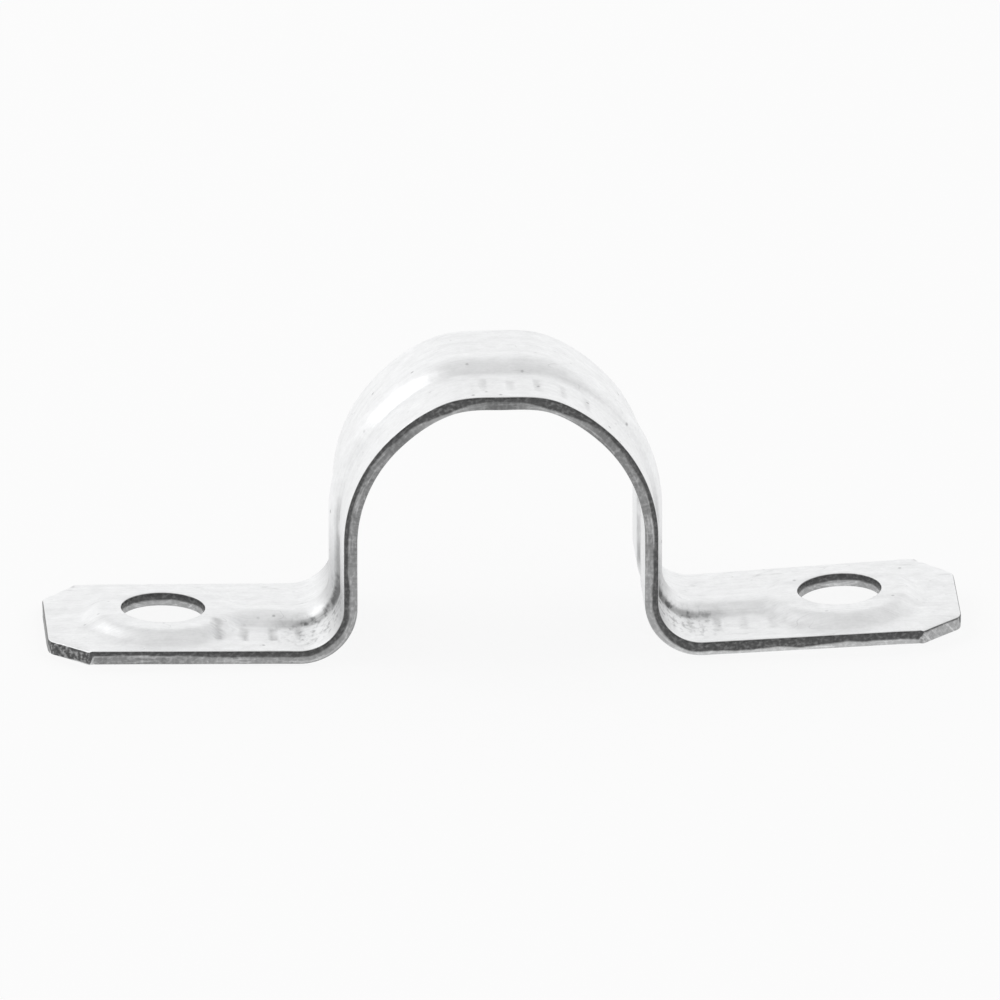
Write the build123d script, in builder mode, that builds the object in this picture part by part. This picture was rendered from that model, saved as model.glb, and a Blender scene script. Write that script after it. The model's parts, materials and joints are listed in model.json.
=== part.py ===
from build123d import *
import os

# Two-hole conduit strap, pressed from one strip of zinc-plated steel.
# Millimetres. The origin is the middle of the base, X runs along the strap,
# Y runs along the conduit and Z points up, away from the wall.

# Conduit and the saddle that grips it, which is pressed a little off the middle, nearer the left ear
conduit_diameter = 23.4
saddle_clearance = 0.1
squeeze = 1.3
saddle_shift = 0.5

# Strip, and how much the shear draws in along its outer face
sheet = 1.15
width = 15.9
corner_clip = 3.6
corner_rounding = 1.2
edge_break = 0.2

# Foot bends, and how far each ear has sprung up, in degrees
toe_radius = 3.6
left_rise = 1.0
right_rise = 2.6

# Screw holes, and where their middles are between the leg and the end of the ear
hole_diameter = 6.8
leg_to_hole = 14.95
hole_to_end = 9.7
hole_rim = 0.25

# Stiffening rib, pressed outwards along the middle of the strip
rib_height = 0.78
rib_half_width = 2.3
foot_radius = 0.8
groove_rim_radius = 0.4

# Round pad under each screw head: its flat land round the hole, how far it stands above the rib,
# and the flat margin of the ear beside it
pad_land = 1.9
pad_step = 0.13
pad_margin = 1.05
pad_rim_radius = 0.4

# Sizes that follow from those above
saddle_radius = conduit_diameter / 2 + saddle_clearance
saddle_centre = conduit_diameter - squeeze - saddle_radius
heel_radius = toe_radius + sheet
bend_centre = saddle_radius + heel_radius
hole_place = saddle_radius + sheet + leg_to_hole
ear_reach = hole_place + hole_to_end
rib_radius = (rib_half_width**2 + rib_height**2) / (2 * rib_height)
rib_axis = rib_radius - rib_height
pad_height = rib_height + pad_step
pad_top_radius = hole_diameter / 2 + pad_land
pad_foot_radius = width / 2 - pad_margin
pad_run = pad_foot_radius - pad_top_radius
pad_slope = (pad_run**2 + pad_height**2) ** 0.5
recess_inset = sheet * (pad_slope - pad_run) / pad_height
overall_height = saddle_centre + saddle_radius + sheet + rib_height


def foot(side, rise, depth, reach):
    """Leg, bend and ear of one side, as a line this deep under the outer face. Gives its end."""
    leg_place = side * (saddle_radius + sheet - depth) - saddle_shift
    Line((leg_place, saddle_centre), (leg_place, heel_radius))
    bend_place = (side * bend_centre - saddle_shift, heel_radius)
    bend = CenterArc(bend_place, toe_radius + depth, 90 + side * 90, side * (90 + rise))
    run = reach - side * (bend @ 1).X
    heading = 90 - side * (90 - rise)
    ear = PolarLine(bend @ 1, run, angle=heading, length_mode=LengthMode.HORIZONTAL)
    return ear @ 1


def strap_line(depth, reach):
    """The line from ear to ear over the saddle, this deep under the outer face. Gives its ends."""
    CenterArc((-saddle_shift, saddle_centre), saddle_radius + sheet - depth, 0, 180)
    return foot(1, right_rise, depth, reach), foot(-1, left_rise, depth, reach)


def layer(outer_depth, inner_depth, reach):
    """Outline of the layer between two such lines, closed at the ends of the ears."""
    outer_ends = strap_line(outer_depth, reach)
    inner_ends = strap_line(inner_depth, reach)
    for outer_end, inner_end in zip(outer_ends, inner_ends):
        Line(outer_end, inner_end)


def ear_face(side, rise):
    """Outer face of one ear, with its origin at the middle of the screw hole."""
    bend_place = (side * bend_centre - saddle_shift, 0, heel_radius)
    ear = Plane(Location(bend_place, (0, -side * rise, 0))).offset(-toe_radius)
    to_hole = (side * hole_place - ear.origin.X) / ear.x_dir.X
    return Plane(ear.from_local_coords((to_hole, 0, 0)), x_dir=ear.x_dir, z_dir=ear.z_dir)


def sharp_edges(solid, sides):
    """Edges of these cone-shaped sides of the solid, but for their seams and their rounded rims."""
    rounded = solid.faces().filter_by(GeomType.TORUS)
    return (sides.edges() - rounded.edges()).filter_by(GeomType.LINE, reverse=True)


ear_faces = [ear_face(1, right_rise), ear_face(-1, left_rise)]
ear_backs = [face.offset(-sheet) for face in ear_faces]
standing = (Align.CENTER, Align.CENTER, Align.MIN)

with BuildPart() as pad:
    Cone(pad_foot_radius, pad_top_radius, pad_height, align=standing)
    fillet(pad.edges().group_by(Axis.Z)[-1], pad_rim_radius)

with BuildPart() as recess:
    Cone(pad_foot_radius - recess_inset, pad_top_radius - recess_inset, pad_height, align=standing)
    fillet(recess.edges().group_by(Axis.Z)[-1], pad_rim_radius)

# The rib's two round tools follow one line along the strap, up to the middles of the screw holes:
# the outer one gives the bead, the inner one the groove under it
with BuildLine(Plane.XZ) as rib_line:
    strap_line(rib_axis, hole_place)
rib_path = rib_line.wire()
rib_section = Plane(rib_path @ 0, x_dir=(0, 1, 0), z_dir=rib_path % 0)

with BuildPart() as raised:
    with BuildSketch(rib_section):
        Circle(rib_radius)
    sweep(path=rib_path)
    # Only what stands outside the middle of the sheet is kept of the bead
    with BuildSketch(Plane.XZ):
        with BuildLine():
            layer(-2 * rib_height, sheet / 2, hole_place)
        make_face()
    extrude(amount=width / 2, both=True, mode=Mode.INTERSECT)
    with Locations(*ear_faces):
        add(pad.part)

with BuildPart() as hollow:
    with BuildSketch(rib_section):
        Circle(rib_radius - sheet)
    sweep(path=rib_path)
    with Locations(*ear_backs):
        add(recess.part)

with BuildPart() as strap:
    # The bent strip, drawn as it is seen along the conduit
    with BuildSketch(Plane.XZ):
        with BuildLine():
            layer(0, sheet, ear_reach)
        make_face()
    extrude(amount=width / 2, both=True)

    # Its outline from above, with the ears' corners clipped and rounded
    with BuildSketch() as outline:
        Rectangle(2 * ear_reach, width)
        chamfer(outline.vertices(), corner_clip)
        fillet(outline.vertices(), corner_rounding)
    extrude(amount=overall_height, mode=Mode.INTERSECT)

    # The bead and the pads, blended into the outer face
    add(raised.part)
    bead_feet = strap.edges(Select.NEW)
    pad_sides = strap.faces().filter_by(GeomType.CONE)
    fillet(bead_feet + sharp_edges(strap, pad_sides), foot_radius)

    # The groove and the recess under each pad, with a rounded rim
    add(hollow.part, mode=Mode.SUBTRACT)
    groove_rims = strap.edges(Select.NEW)
    recess_sides = strap.faces().filter_by(GeomType.CONE).sort_by(Axis.Z)[: len(ear_backs)]
    fillet(groove_rims + sharp_edges(strap, recess_sides), groove_rim_radius)

    # The outer face's sheared edge, which is smooth all round, taken from the top of the saddle
    side_edges = strap.edges().group_by(Axis.Y)[-1]
    chamfer(side_edges.sort_by(Axis.Z)[-1], edge_break)

    # Screw holes, punched square to each ear from the outer face, with the rim drawn in a little
    for face in ear_faces:
        with Locations(face):
            Hole(hole_diameter / 2)
        chamfer(strap.edges(Select.NEW).sort_by(Axis.Z)[-1], hole_rim)

os.makedirs("parts", exist_ok=True)
strap.part.label = "strap"
export_step(strap.part, "parts/strap.step")
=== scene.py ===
import json
import math

import bmesh
import bpy
from mathutils import Matrix, Vector, noise


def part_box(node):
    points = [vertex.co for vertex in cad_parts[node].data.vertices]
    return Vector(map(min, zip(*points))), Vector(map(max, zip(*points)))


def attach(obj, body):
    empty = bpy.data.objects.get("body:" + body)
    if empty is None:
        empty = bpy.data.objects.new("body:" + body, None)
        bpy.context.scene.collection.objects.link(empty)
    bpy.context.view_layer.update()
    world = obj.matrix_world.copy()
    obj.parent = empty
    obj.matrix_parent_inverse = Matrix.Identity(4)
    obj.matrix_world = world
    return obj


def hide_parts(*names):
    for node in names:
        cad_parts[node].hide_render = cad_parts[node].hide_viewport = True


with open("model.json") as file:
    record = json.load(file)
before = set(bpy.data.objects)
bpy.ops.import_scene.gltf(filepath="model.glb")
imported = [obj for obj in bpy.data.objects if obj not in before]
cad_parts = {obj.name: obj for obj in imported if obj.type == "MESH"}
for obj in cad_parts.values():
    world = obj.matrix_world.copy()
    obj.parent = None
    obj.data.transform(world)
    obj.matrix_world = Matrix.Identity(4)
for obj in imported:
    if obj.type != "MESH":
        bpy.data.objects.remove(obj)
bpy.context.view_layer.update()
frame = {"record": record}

# The strap: a two-hole conduit strap, one piece of zinc-plated mild steel.
# Its blank is sheared from flat strip and pierced, then the rib is pressed along it
# and it is bent over a round former, so the mesh is made in that order too.
mounts = {mount["name"]: mount for mount in frame["record"]["mounts"]}
saddle_middle = Vector(mounts["saddle"]["pos_m"])
left_hole = mounts["screw_hole_left"]
right_hole = mounts["screw_hole_right"]
strap_low, strap_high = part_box("strap")

millimetre = 0.001
sheet = left_hole["dims"]["length_mm"] * millimetre
hole_radius = left_hole["dims"]["r_mm"] * millimetre
half_width = (strap_high.y - strap_low.y) / 2
crown_radius = mounts["saddle"]["dims"]["r_mm"] * millimetre + sheet
toe_radius = 3.6 * millimetre
heel_height = toe_radius + sheet
corner_rounding = 1.2 * millimetre
cell = 0.23 * millimetre
merge_distance = cell / 10

quarter_crown = crown_radius * math.pi / 2
leg_length = saddle_middle.z - heel_height


def soft_step(value):
    """Goes from 0 to 1 as the value does, with level ends."""
    value = min(max(value, 0), 1)
    return value * value * (3 - 2 * value)


class Side:
    """One half of the strap, measured along its outer face from the top of the saddle."""

    def __init__(self, sign, hole, end, back_clip, front_clip, twist, droop, drag, clip_burnish):
        axis = Vector(hole["axis"])
        self.sign = sign
        self.back_clip = back_clip * millimetre
        self.front_clip = front_clip * millimetre
        self.twist = math.radians(twist)
        self.droop = droop * millimetre
        self.drag = drag * millimetre
        self.clip_burnish = clip_burnish
        self.rise = -sign * math.atan2(axis.x, axis.z)
        self.bend_start = quarter_crown + leg_length
        self.bend_end = self.bend_start + toe_radius * (math.pi / 2 + self.rise)
        self.bend_middle = Vector((saddle_middle.x + sign * (crown_radius + toe_radius), 0, heel_height))
        self.ear_direction = Vector((sign * math.cos(self.rise), 0, math.sin(self.rise)))
        self.ear_normal = Vector((-sign * math.sin(self.rise), 0, math.cos(self.rise)))
        ear_start = self.bend_middle - toe_radius * self.ear_normal
        self.hole = self.bend_end + (Vector(hole["pos_m"]) - ear_start).dot(self.ear_direction)
        self.pad_height = (Vector(hole["pos_m"]) - ear_start).dot(self.ear_normal) + sheet / 2
        self.end = self.bend_end + (end - ear_start.x) / self.ear_direction.x

    def clip(self, across):
        """Size of the clip at the back or the front corner of the ear."""
        return self.back_clip if across > 0 else self.front_clip


# Each ear is twisted a little, its end has sagged, and the clipping shear has dragged its corners down
# The clips' burnish shares also set how much of their walls takes painted shade and painted dark
# reflection
left = Side(-1, left_hole, strap_low.x, back_clip=2.6, front_clip=3.4,
            twist=-0.4, droop=0.18, drag=0.16, clip_burnish=0.95)
right = Side(1, right_hole, strap_high.x, back_clip=2.9, front_clip=3.5,
             twist=1.4, droop=0.25, drag=0.14, clip_burnish=0.15)


def half_blank(side):
    """Flat half of the blank, as one layer of faces: the ear round its hole, then half of the strip."""
    flat = bmesh.new()
    ear_line = side.hole - (side.end - side.hole)
    outline = [(ear_line, -half_width), (side.end, -half_width)]
    outline += [(side.end, half_width), (ear_line, half_width)]
    flat.faces.new([flat.verts.new((x, y, 0)) for x, y in outline])
    for corner in [vertex for vertex in flat.verts if vertex.co.x > ear_line + sheet]:
        clip = side.clip(corner.co.y)
        bmesh.ops.bevel(flat, geom=[corner], offset=clip, offset_type="OFFSET", segments=1,
                        profile=0.5, affect="VERTICES", material=-1)
    # Each corner of a clip turns by 45 degrees, so this much of its edges goes into the rounding
    outer = [vertex for vertex in flat.verts if vertex.co.x > ear_line + sheet]
    rounding_reach = corner_rounding * math.tan(math.pi / 8)
    bmesh.ops.bevel(flat, geom=outer, offset=rounding_reach, offset_type="OFFSET", segments=4,
                    profile=0.5, affect="VERTICES", material=-1)
    bmesh.ops.delete(flat, geom=flat.faces[:], context="FACES_ONLY")
    for edge in flat.edges[:]:
        cuts = round(edge.calc_length() / cell) - 1
        if cuts > 0:
            bmesh.ops.subdivide_edges(flat, edges=[edge], cuts=cuts)

    # The hole's circle takes as many points as the ear's outline, and rows of faces join the two
    outline_edges = flat.edges[:]
    place = Matrix.Translation((side.hole, 0, 0))
    segments = len(outline_edges)
    circle = bmesh.ops.create_circle(flat, segments=segments, radius=hole_radius, matrix=place)
    circle = set(circle["verts"])
    circle_edges = [edge for edge in flat.edges if circle.issuperset(edge.verts)]
    bmesh.ops.bridge_loops(flat, edges=outline_edges + circle_edges)
    spokes = [edge for edge in flat.edges if len(circle.intersection(edge.verts)) == 1]
    rings = round((half_width - hole_radius) / cell)
    bmesh.ops.subdivide_edges(flat, edges=spokes, cuts=rings - 1, use_grid_fill=True)

    strip_start = []
    for edge in flat.edges:
        if all(abs(vertex.co.x - ear_line) < merge_distance for vertex in edge.verts):
            strip_start.append(edge)
    steps = round(ear_line / cell)
    bmesh.ops.spin(flat, geom=strip_start, angle=0, axis=(0, 0, 1), dvec=(-ear_line / steps, 0, 0),
                   steps=steps, use_duplicate=False)
    bmesh.ops.scale(flat, vec=(side.sign, 1, 1), verts=flat.verts[:])
    return flat


blank = half_blank(left)
other_half = bpy.data.meshes.new("other_half")
half_blank(right).to_mesh(other_half)
blank.from_mesh(other_half)
bpy.data.meshes.remove(other_half)
bmesh.ops.remove_doubles(blank, verts=blank.verts[:], dist=merge_distance)
bmesh.ops.recalc_face_normals(blank, faces=blank.faces[:])
bmesh.ops.solidify(blank, geom=blank.faces[:], thickness=sheet)

# Shearing draws the outer edge in over a small radius and leaves a fine burr at the inner one
roll_radius = 0.16 * millimetre
burr_size = 0.05 * millimetre


def sheared_edges(height):
    """Edges between a face of the sheet and a cut wall, at this height."""
    found = []
    for edge in blank.edges:
        level = all(abs(vertex.co.z - height) < merge_distance for vertex in edge.verts)
        if level and edge.calc_face_angle(0) > math.pi / 4:
            found.append(edge)
    return found


for height, size, segments in ((0, roll_radius, 3), (-sheet, burr_size, 1)):
    bmesh.ops.bevel(blank, geom=sheared_edges(height), offset=size, offset_type="OFFSET",
                    segments=segments, profile=0.5, affect="EDGES", material=-1)
walls = [edge for edge in blank.edges if abs(edge.verts[0].co.z - edge.verts[1].co.z) > sheet / 2]
bmesh.ops.subdivide_edges(blank, edges=walls, cuts=3, use_grid_fill=True)

# The crown of the saddle gets flattened, with a low bulge on either side of the flat.
# Their reaches are angles from the top.
crown_flat = 0.25 * millimetre
crown_bulge = 0.12 * millimetre
flat_reach = 0.36
bulge_reach = 0.75

# The finish follows the blank: a map along and across the strip that runs on down the cut walls,
# how deep each point lies in the sheet, where the cut walls are, how much of their depth the tools
# have burnished, and where the strokes are
strip_map = blank.loops.layers.uv.new("strip")
depth_layer = blank.verts.layers.float.new("depth")
wall_layer = blank.verts.layers.float.new("wall")
burnish_layer = blank.verts.layers.float.new("burnish")
stroke_layer = blank.verts.layers.float.new("stroke")
# These shares also set how much of each wall's depth gets the burnished band's painted shade and painted
# dark reflection
edge_burnish = 0.33
right_ear_burnish = 0.62
hole_burnish = 0.52
crown_burnish = 0.4
bend_burnish = 0.1


def burnished_share(point):
    """How much of a cut wall's depth is burnished at this point of the flat blank."""
    side = right if point.x > 0 else left
    along = abs(point.x)
    clip = side.clip(point.y)
    if math.hypot(along - side.hole, point.y) < hole_radius + 2 * roll_radius:
        return hole_burnish
    if along > side.end - clip and abs(point.y) > half_width - clip:
        return side.clip_burnish
    on_right_ear = soft_step((point.x - right.bend_start) / (right.bend_end - right.bend_start))
    on_bend = soft_step((along - quarter_crown) / toe_radius)
    on_bend *= soft_step((side.hole - along) / toe_radius)
    from_crown = along / crown_radius
    on_crown = soft_step(from_crown / flat_reach)
    on_crown *= soft_step((bulge_reach - from_crown) / flat_reach)
    share = edge_burnish + (right_ear_burnish - edge_burnish) * on_right_ear
    return share + bend_burnish * on_bend + crown_burnish * on_crown


for face in blank.faces:
    for loop in face.loops:
        point = loop.vert.co
        loop[strip_map].uv = (point.x - face.normal.x * point.z, point.y - face.normal.y * point.z)
for vertex in blank.verts:
    vertex[depth_layer] = -vertex.co.z / sheet
    upright = [math.hypot(face.normal.x, face.normal.y) for face in vertex.link_faces]
    vertex[wall_layer] = sum(upright) / len(upright)
    vertex[burnish_layer] = burnished_share(vertex.co)

# The press raises a round bead along the middle, which runs into a round pad at each screw hole
rib_height = 0.78 * millimetre
rib_half_width = 2.3 * millimetre
rib_foot_radius = 0.8 * millimetre
rib_radius = (rib_half_width**2 + rib_height**2) / (2 * rib_height)
between_centres = rib_radius + rib_foot_radius
foot_place = math.sqrt(between_centres**2 - (rib_foot_radius + rib_radius - rib_height) ** 2)
foot_start = foot_place * rib_radius / between_centres
pad_land = 1.75 * millimetre
pad_margin = 0.85 * millimetre
pad_top_radius = hole_radius + pad_land
pad_foot_radius = half_width - pad_margin
wave_height = 0.02 * millimetre
wave_length = 4 * millimetre


def rib(reach):
    """Height of the bead this far from its middle line."""
    if reach < foot_start:
        return math.sqrt(rib_radius**2 - reach**2) - (rib_radius - rib_height)
    if reach < foot_place:
        return rib_foot_radius - math.sqrt(rib_foot_radius**2 - (foot_place - reach) ** 2)
    return 0


def clip_drag(side, along, across):
    """How far the shear that clipped the ear's corners has dragged the sheet down here."""
    clip = side.clip(across)
    to_clip = (side.end + half_width - clip - along - abs(across)) / math.sqrt(2)
    beyond = soft_step((along - side.end + clip) / cell + 0.5)
    return side.drag * beyond * max(0, 1 - to_clip / sheet) ** 2


def relief(x, y):
    """How far the outer face stands above the flat blank once it is pressed."""
    side = right if x > 0 else left
    along = abs(x)
    bead = rib(abs(y)) if along < side.hole else 0
    to_hole = math.hypot(along - side.hole, y)
    pad = side.pad_height * soft_step((pad_foot_radius - to_hole) / (pad_foot_radius - pad_top_radius))
    waves = wave_height * noise.noise(Vector((x, y, 0)) / wave_length)
    return bead + pad - bead * pad / side.pad_height - clip_drag(side, along, y) + waves


# Plain strokes are stamped in rows beside the bead: four on each ear, next to its bend, and five
# on the crown. Those on the right ear and on the crown are worn to about half their depth.
stroke_pitch = 2.25 * millimetre
stroke_length = 2.2 * millimetre
stroke_radius = 0.42 * millimetre
stroke_depth = 0.16 * millimetre
ear_row = -4 * millimetre
crown_row = -5 * millimetre
left_ear_start = -left.bend_end - 2.9 * stroke_pitch
right_ear_start = right.bend_end - 0.4 * stroke_pitch
crown_start = -0.6 * stroke_pitch
worn = 0.5
wear_length = 1.7 * millimetre
stroke_slope = 1.6


def stroke_row(x, y, start, count, row):
    """1 on the strokes of one row and 0 between them."""
    number = min(max(round((x - start) / stroke_pitch), 0), count - 1)
    beside = x - start - number * stroke_pitch
    beyond = max(abs(y - row) - stroke_length / 2, 0)
    return soft_step(stroke_slope - stroke_slope * math.hypot(beside, beyond) / stroke_radius)


def strokes(x, y):
    """How deep the strokes are here, as a part of their full depth."""
    wear = 0.7 + 0.8 * noise.noise(Vector((x, y, 0)) / wear_length)
    stamped = stroke_row(x, y, left_ear_start, 4, ear_row)
    stamped += worn * stroke_row(x, y, right_ear_start, 4, ear_row)
    stamped += worn * stroke_row(x, y, crown_start, 5, crown_row)
    return stamped * wear


# The inner face follows the outer one a little aside on each slope, which keeps the sheet's thickness.
# An ear sags over this share of its length, at its end.
aside = 0.4
sag_share = 0.25


def press(point):
    """Carries a point of the flat blank to the pressed one."""
    step = cell / 10
    height = relief(point.x, point.y)
    slope_x = (relief(point.x + step, point.y) - height) / step
    slope_y = (relief(point.x, point.y + step) - height) / step
    depth = point.z - stroke_depth * strokes(point.x, point.y) * (1 + point.z / sheet)
    x = point.x - slope_x * point.z * aside
    y = point.y - slope_y * point.z * aside
    return Vector((x, y, height + depth))


def crown_rise(turn):
    """How far the crown stands out of its circle at this angle from the top."""
    bulge = soft_step(turn / flat_reach) * soft_step((bulge_reach - turn) / (bulge_reach - flat_reach))
    return crown_bulge * bulge - crown_flat * soft_step(1 - turn / flat_reach)


def bend(point):
    """Carries a point of the pressed blank to its place on the bent strap."""
    side = right if point.x > 0 else left
    along = abs(point.x)
    across = Vector((0, point.y, 0))
    if along < quarter_crown:
        turn = along / crown_radius
        outwards = Vector((side.sign * math.sin(turn), 0, math.cos(turn)))
        return saddle_middle + outwards * (crown_radius + point.z + crown_rise(turn)) + across
    if along < side.bend_start:
        outwards = Vector((side.sign * (crown_radius + point.z), 0, quarter_crown - along))
        return saddle_middle + outwards + across
    if along < side.bend_end:
        turn = (along - side.bend_start) / toe_radius
        inwards = Vector((-side.sign * math.cos(turn), 0, -math.sin(turn)))
        return side.bend_middle + inwards * (toe_radius - point.z) + across
    out = (along - side.bend_end) / (side.end - side.bend_end)
    lift = side.twist * point.y * out - side.droop * max(0, 1 - (1 - out) / sag_share) ** 2
    ear_point = side.ear_direction * (along - side.bend_end)
    ear_point -= side.ear_normal * (toe_radius - point.z - lift)
    return side.bend_middle + ear_point + across


for vertex in blank.verts:
    vertex[stroke_layer] = strokes(vertex.co.x, vertex.co.y) if vertex.co.z > -sheet / 2 else 0
    vertex.co = bend(press(vertex.co))
bmesh.ops.recalc_face_normals(blank, faces=blank.faces[:])
sharp_angle = math.radians(35)
for face in blank.faces:
    face.smooth = True
for edge in blank.edges:
    edge.smooth = edge.calc_face_angle(0) < sharp_angle
strap_mesh = bpy.data.meshes.new("strap_zinc")
blank.to_mesh(strap_mesh)
blank.free()
strap = bpy.data.objects.new("strap_zinc", strap_mesh)
bpy.context.collection.objects.link(strap)
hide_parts("strap")
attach(strap, "root")


class Signal:
    """One output of a material's node, with the arithmetic that a finish needs."""

    def __init__(self, socket):
        self.socket = socket

    def math(self, operation, first, second=0):
        """Result of one Math node on these two values or signals."""
        settings = {"operation": operation}
        inputs = {0: first, 1: second}
        return add_node(self.socket.id_data, "ShaderNodeMath", settings, inputs)[0]

    def __add__(self, other):
        return self.math("ADD", self, other)

    __radd__ = __add__

    def __sub__(self, other):
        return self.math("SUBTRACT", self, other)

    def __rsub__(self, other):
        return self.math("SUBTRACT", other, self)

    def __mul__(self, other):
        return self.math("MULTIPLY", self, other)

    __rmul__ = __mul__

    def __abs__(self):
        return self.math("ABSOLUTE", self)

    def step(self, start, end):
        """Rises smoothly from 0 where the signal is at the start to 1 where it is at the end."""
        settings = {"interpolation_type": "SMOOTHSTEP"}
        inputs = {"Value": self, "From Min": start, "From Max": end}
        return add_node(self.socket.id_data, "ShaderNodeMapRange", settings, inputs)[0]


def add_node(tree, kind, settings, inputs):
    """Adds a node, makes its settings, then gives its inputs values or signals. Gives its outputs."""
    node = tree.nodes.new(kind)
    for name, value in settings.items():
        setattr(node, name, value)
    for name, value in inputs.items():
        if isinstance(value, Signal):
            tree.links.new(value.socket, node.inputs[name])
        else:
            node.inputs[name].default_value = value
    return [Signal(output) for output in node.outputs]


# Zinc plate: bright and faintly blue, with the lines of the rolled strip under it, and clouds, pits
# and hairlines on it. The cut walls are bare steel, burnished near the outer face and torn below;
# their burnished band is painted near black as painted shade and painted dark reflection.
zinc = bpy.data.materials.new("zinc_plate")
zinc.use_nodes = True
strap_mesh.materials.append(zinc)
finish = zinc.node_tree
zinc_shader = finish.nodes["Principled BSDF"]
zinc_shader.inputs["Metallic"].default_value = 1

# Places on the strip's map, in millimetres: along it from the top of the saddle, and across it
bend_from = left.bend_start / millimetre
bend_to = left.bend_end / millimetre
leg_from = quarter_crown / millimetre
crease_place = 2.2

strip_place = add_node(finish, "ShaderNodeUVMap", {"uv_map": "strip"}, {})[0]
to_millimetres = {"Vector": strip_place, "Scale": 1 / millimetre}
strip_place = add_node(finish, "ShaderNodeVectorMath", {"operation": "SCALE"}, to_millimetres)[0]
along, across, _ = add_node(finish, "ShaderNodeSeparateXYZ", {}, {"Vector": strip_place})


def strip_noise(length, width, detail=2, offset=0):
    """Noise whose patches have this length along the strip and this width across it, in millimetres."""
    inputs = {0: strip_place, 1: (1 / length, 1 / width, 1), 2: (offset, offset, offset)}
    place = add_node(finish, "ShaderNodeVectorMath", {"operation": "MULTIPLY_ADD"}, inputs)[0]
    return add_node(finish, "ShaderNodeTexNoise", {}, {"Vector": place, "Scale": 1, "Detail": detail})[0]


def attribute(name):
    """One of the blank's layers of numbers, such as depth or wall, as a signal."""
    return add_node(finish, "ShaderNodeAttribute", {"attribute_name": name}, {})[2]


clouds = strip_noise(5, 3, detail=4)
patches = strip_noise(1.3, 0.9, detail=4, offset=7)
rolling = strip_noise(8, 0.16, detail=2, offset=3)
grain = strip_noise(0.3, 0.22, detail=3, offset=11)
hairline = 1 - abs(strip_noise(7, 2.2, detail=1, offset=23) - 0.5).step(0, 0.006)
hairlines = hairline * strip_noise(3, 3, detail=1, offset=31).step(0.5, 0.6)
pit_inputs = {"Vector": strip_place, "Scale": 0.9}
pit_distance, pit_colour, _ = add_node(finish, "ShaderNodeTexVoronoi", {}, pit_inputs)[:3]
pit_pick = add_node(finish, "ShaderNodeSeparateColor", {}, {"Color": pit_colour})[0]
pits = (1 - pit_distance.step(0.04, 0.2)) * pit_pick.step(0.7, 0.95)

# The bends are scuffed outside. The feet of the bead get painted shade, faint everywhere and strongest
# up the legs and in the bends, where they are also rougher, and the outer face gets painted shade toward
# the foot of each leg
outside = 1 - attribute("depth").step(0.4, 0.6)
in_bend = abs(along).step(bend_from - 2, bend_from + 1) * (1 - abs(along).step(bend_to - 1, bend_to + 3))
on_leg = abs(along).step(leg_from - 4, leg_from + 2) * (1 - abs(along).step(bend_to - 1, bend_to + 3))
bead_foot = 1 - abs(abs(across) - crease_place).step(0.1, 0.8)
# Painted shade: the outer face darkens, in patches, over the last 6 mm of each leg and fades out within
# 4 mm into the bend
leg_foot_shade = abs(along).step(bend_from - 6, bend_from + 1) * outside
leg_foot_shade = leg_foot_shade * (1 - abs(along).step(bend_from + 1, bend_from + 4))
# Painted shade along the feet of the bead, in patches: faint on the crown and ears, stronger up the
# legs, strongest in the bends. The same mask also makes them rougher
bead_foot_shade_and_dulling = strip_noise(2.5, 1.2, detail=1, offset=71).step(0.2, 0.6)
bead_foot_shade_and_dulling = bead_foot_shade_and_dulling * bead_foot * (0.1 + 0.6 * on_leg + 0.3 * in_bend)
scuffs = strip_noise(0.5, 0.8, detail=2, offset=83).step(0.45, 0.75)
scuffs = scuffs * (0.06 + 0.94 * in_bend * outside) * (1 - abs(across + 4).step(1.5, 3.5))

wall = attribute("wall").step(0.4, 0.75)
torn_edge = attribute("burnish") + 0.45 * (strip_noise(3, 3, detail=3, offset=41) - 0.5)
torn = (attribute("depth") - torn_edge).step(-0.08, 0.1)
scoring = strip_noise(0.22, 2.5, detail=2, offset=53)
smear = strip_noise(3.5, 0.25, detail=3, offset=61).step(0.52, 0.68)
speckle = strip_noise(0.4, 0.3, detail=3, offset=67).step(0.42, 0.72)

darkest_plate = 0.22
plate_grey = 0.89 + 0.08 * clouds + 0.2 * (patches - 0.5) - 0.12 * (rolling - 0.5) - 0.12 * (grain - 0.5)
# Painted shade at the leg feet; the pits and hairlines are real marks
plate_grey = plate_grey - leg_foot_shade * (0.05 + 0.5 * patches) - 0.3 * pits - 0.12 * hairlines
# Painted shade in the bead's feet and in the stamped strokes; the scuffs are real wear
plate_grey = plate_grey - 0.45 * bead_foot_shade_and_dulling - 0.3 * scuffs - 0.3 * attribute("stroke")
plate_grey = plate_grey.math("MAXIMUM", plate_grey, darkest_plate)
# Painted shade and painted dark reflection: the burnished band is near black
burnished_band_grey_and_shade = 0.06 + 0.06 * scoring + (0.08 + 0.2 * attribute("burnish").step(0.65, 0.9)) * speckle
# The torn band is lighter where a wall's burnished share differs from the plain edge's, and darker near
# the top of the crown
torn_grey = 0.19 + 0.2 * scoring + 0.2 * smear + 0.16 * speckle
torn_grey = torn_grey + 0.9 * abs(attribute("burnish") - edge_burnish)
torn_grey = torn_grey * (0.7 + 0.3 * abs(along).step(4, 16))
wall_grey = burnished_band_grey_and_shade + (torn_grey - burnished_band_grey_and_shade) * torn
grey = plate_grey + (wall_grey - plate_grey) * wall
grey_inputs = {"Red": grey * 0.99, "Green": grey * 0.995, "Blue": grey}
grey_colour = add_node(finish, "ShaderNodeCombineColor", {}, grey_inputs)[0]
finish.links.new(grey_colour.socket, zinc_shader.inputs["Base Color"])

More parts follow.
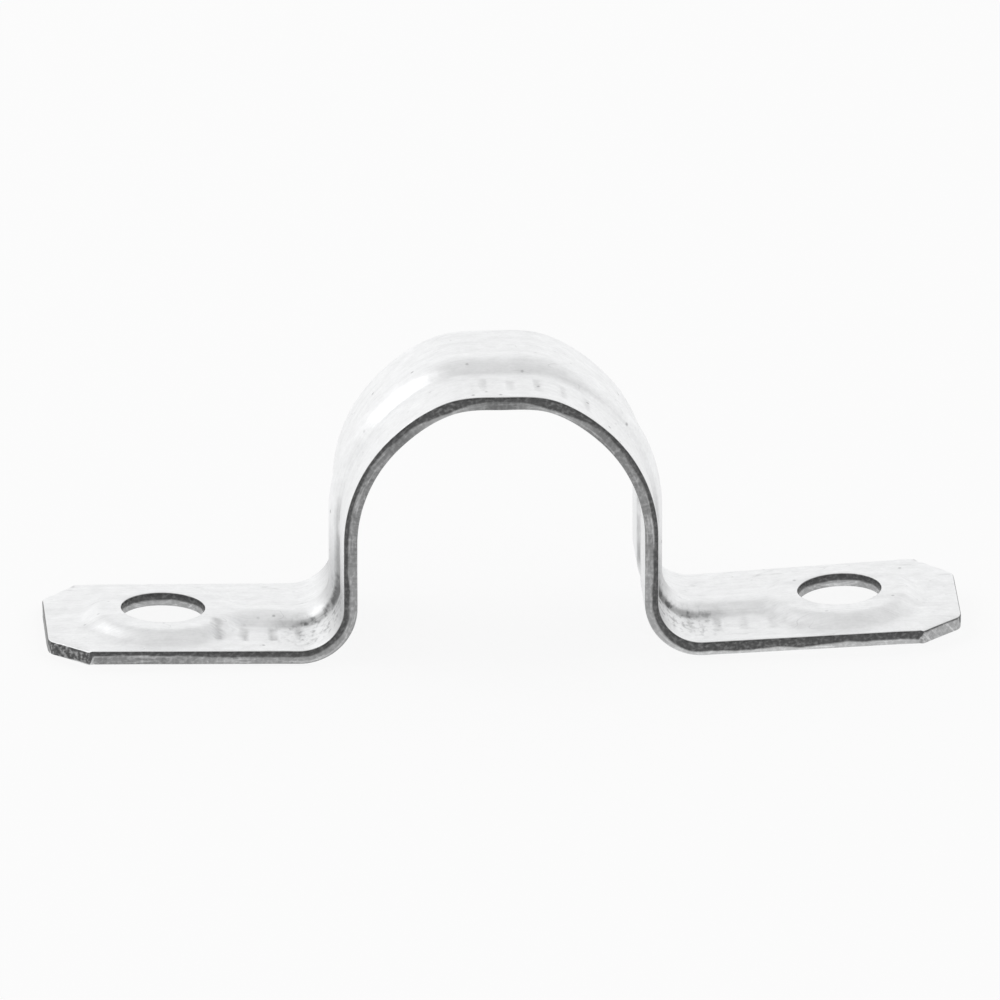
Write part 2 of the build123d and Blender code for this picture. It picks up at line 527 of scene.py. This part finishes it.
plate_roughness = 0.27 + 0.14 * clouds + 0.12 * grain + 0.2 * pits + 0.25 * scuffs + 0.15 * bead_foot_shade_and_dulling
wall_roughness = 0.34 + 0.2 * torn
roughness = plate_roughness + (wall_roughness - plate_roughness) * wall
finish.links.new(roughness.socket, zinc_shader.inputs["Roughness"])

plate_height = 0.006 * rolling + 0.008 * grain + 0.04 * patches - 0.03 * pits - 0.004 * hairlines
plate_height = plate_height - 0.015 * scuffs
wall_height = 0.02 * scoring * torn + 0.006 * scoring + 0.02 * speckle
height = plate_height + (wall_height - plate_height) * wall
bump_inputs = {"Strength": 1, "Distance": millimetre, "Height": height}
bump = add_node(finish, "ShaderNodeBump", {}, bump_inputs)[0]
finish.links.new(bump.socket, zinc_shader.inputs["Normal"])

# Floor: a white board under the strap. Camera, glossy and transmission rays see it nearly white,
# which leaves the strap's soft shadow at part of its depth.
floor_size = 3
floor_shape = bmesh.new()
bmesh.ops.create_grid(floor_shape, x_segments=1, y_segments=1, size=floor_size)
floor_mesh = bpy.data.meshes.new("floor")
floor_shape.to_mesh(floor_mesh)
floor_shape.free()
floor = bpy.data.objects.new("floor", floor_mesh)
bpy.context.collection.objects.link(floor)

board = bpy.data.materials.new("white_board")
board.use_nodes = True
floor_mesh.materials.append(board)
board_tree = board.node_tree
board_shader = board_tree.nodes["Principled BSDF"]
board_shader.inputs["Base Color"].default_value = (0.95, 0.95, 0.95, 1)
board_shader.inputs["Roughness"].default_value = 0.9
board_shader.inputs["Specular IOR Level"].default_value = 0
white = add_node(board_tree, "ShaderNodeEmission", {}, {"Color": (1, 1, 1, 1), "Strength": 1})[0]
rays = add_node(board_tree, "ShaderNodeLightPath", {}, {})
camera_ray, glossy_ray, transmission_ray = rays[0], rays[3], rays[6]
seen = camera_ray + glossy_ray + transmission_ray
whitening = 0.85
board_inputs = {0: seen * whitening, 1: Signal(board_shader.outputs[0]), 2: white}
board_mix = add_node(board_tree, "ShaderNodeMixShader", {}, board_inputs)[0]
board_tree.links.new(board_mix.socket, board_tree.nodes["Material Output"].inputs["Surface"])

# Studio: pale walls all round, brightest behind the strap, under a greyer ceiling,
# with one large softbox high on the left behind it
world = bpy.data.worlds.new("studio")
bpy.context.scene.world = world
world.use_nodes = True
studio = world.node_tree
direction = add_node(studio, "ShaderNodeTexCoord", {}, {})[0]
_, behind, upward = add_node(studio, "ShaderNodeSeparateXYZ", {}, {"Vector": direction})
ceiling = upward.step(0.42, 0.85)
wall_light = 0.62 + 0.38 * behind.step(-0.5, 0.5)
ceiling_light = 0.74
room = wall_light + (ceiling_light - wall_light) * ceiling
background = studio.nodes["Background"]
background.inputs["Color"].default_value = (1, 1, 1, 1)
studio.links.new(room.socket, background.inputs["Strength"])

softbox_data = bpy.data.lights.new("softbox", "AREA")
softbox_data.shape = "RECTANGLE"
softbox_data.size = 0.6
softbox_data.size_y = 0.45
softbox_data.energy = 0.9
softbox = bpy.data.objects.new("softbox", softbox_data)
bpy.context.collection.objects.link(softbox)
softbox.location = (-0.7, 0.2, 0.68)
softbox.rotation_euler = (-softbox.location).to_track_quat("-Z", "Y").to_euler()

# Camera: a long lens, a little to the left of square on and 20 degrees above the floor.
# Its shifts set the strap a little off the middle of the frame.
aim = Vector((saddle_middle.x, 0, 10 * millimetre))
camera_distance = 3
camera_azimuth = math.radians(-3.47)
camera_elevation = math.radians(20.62)
frame_width = 82.2 * millimetre
camera_data = bpy.data.cameras.new("camera")
camera = bpy.data.objects.new("camera", camera_data)
bpy.context.collection.objects.link(camera)
back = Vector((math.sin(camera_azimuth) * math.cos(camera_elevation),
               -math.cos(camera_azimuth) * math.cos(camera_elevation),
               math.sin(camera_elevation)))
camera.location = aim + back * camera_distance
camera.rotation_euler = (-back).to_track_quat("-Z", "Y").to_euler()
camera_data.sensor_width = 36
camera_data.lens = camera_data.sensor_width * camera_distance / frame_width
camera_data.shift_x = 0.0046
camera_data.shift_y = 0.0118
camera_data.clip_start = 0.01
camera_data.clip_end = 10
scene = bpy.context.scene
scene.camera = camera
scene.view_settings.view_transform = "Standard"
